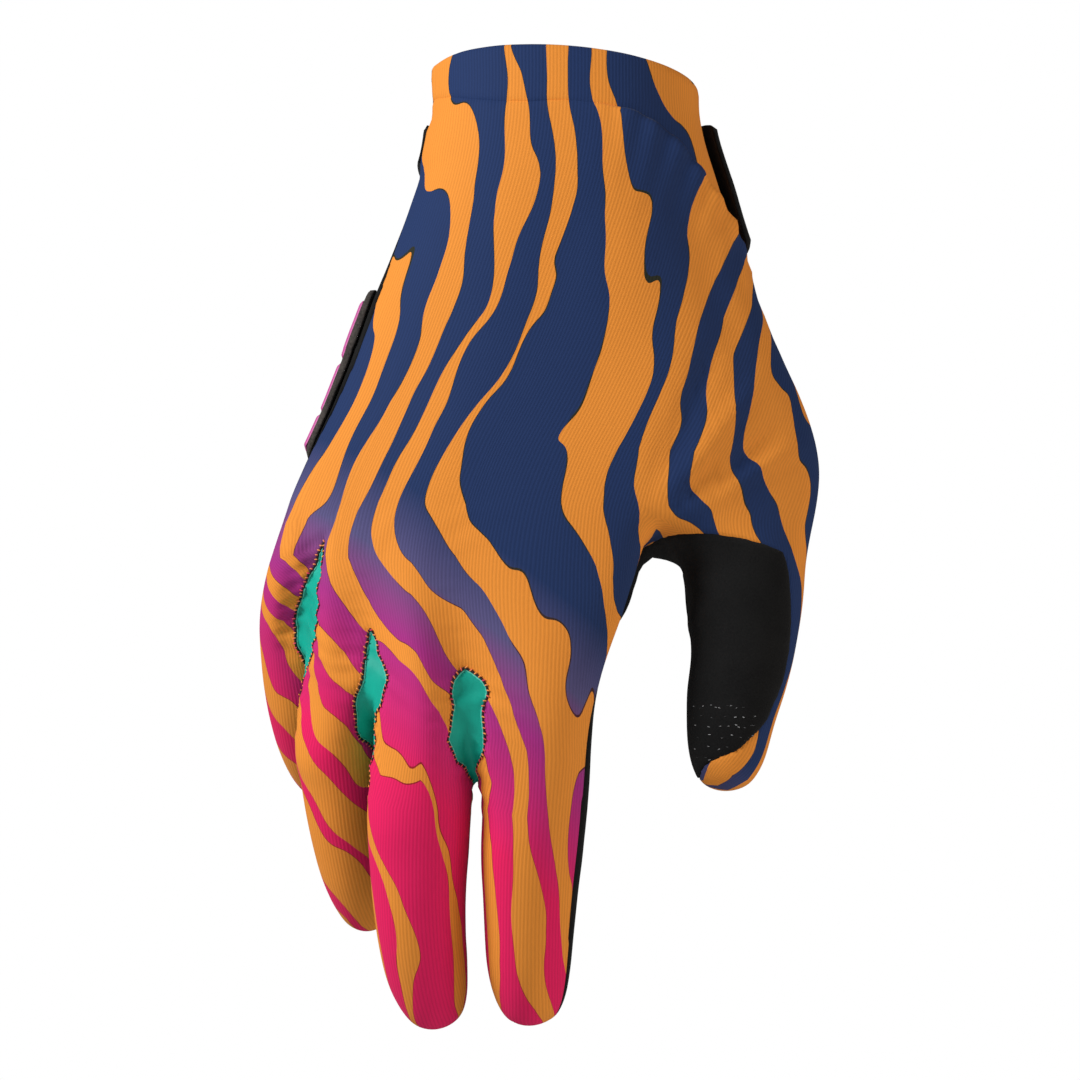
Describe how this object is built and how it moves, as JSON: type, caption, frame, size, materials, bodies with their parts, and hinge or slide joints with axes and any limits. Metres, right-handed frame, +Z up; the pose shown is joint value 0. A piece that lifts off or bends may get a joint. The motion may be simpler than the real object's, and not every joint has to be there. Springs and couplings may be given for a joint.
{
  "type": "motocross glove",
  "caption": "Full-finger sports glove with a knit back, suede palm and thumb patch, finger gussets, a pull-on cuff and a wrist strap.",
  "frame": {"origin": "centre of the cuff's rim, where the glove sits on the wrist", "axes": "+Z up and out of the cuff, so the fingers point to -Z; the back of the hand faces -Y, and the thumb is on the +X side"},
  "size_m": [0.1268, 0.0958, 0.2144],
  "materials": {
    "printed_knit": "ribbed polyester knit with a printed pattern",
    "cuff_knit": "the same ribbed knit, turned in and doubled",
    "palm_suede": "matt synthetic suede",
    "thumb_suede": "matt synthetic suede",
    "gusset_stretch": "smooth stretch knit",
    "pad_suede": "matt synthetic suede over thin foam",
    "grip_rubber": "satin printed rubber",
    "strap_webbing": "matt moulded tab with a woven back"
  },
  "bodies": {
    "root": {"back_panel": "printed_knit", "cuff_band": "cuff_knit", "palm_panel": "palm_suede", "thumb_patch": "thumb_suede", "gusset_little_ring": "gusset_stretch", "gusset_ring_middle": "gusset_stretch", "gusset_middle_index": "gusset_stretch", "heel_pad": "pad_suede", "grip_bar_1": "grip_rubber", "grip_bar_2": "grip_rubber", "grip_bar_3": "grip_rubber", "wrist_strap": "strap_webbing"}
  },
  "joints": []
}
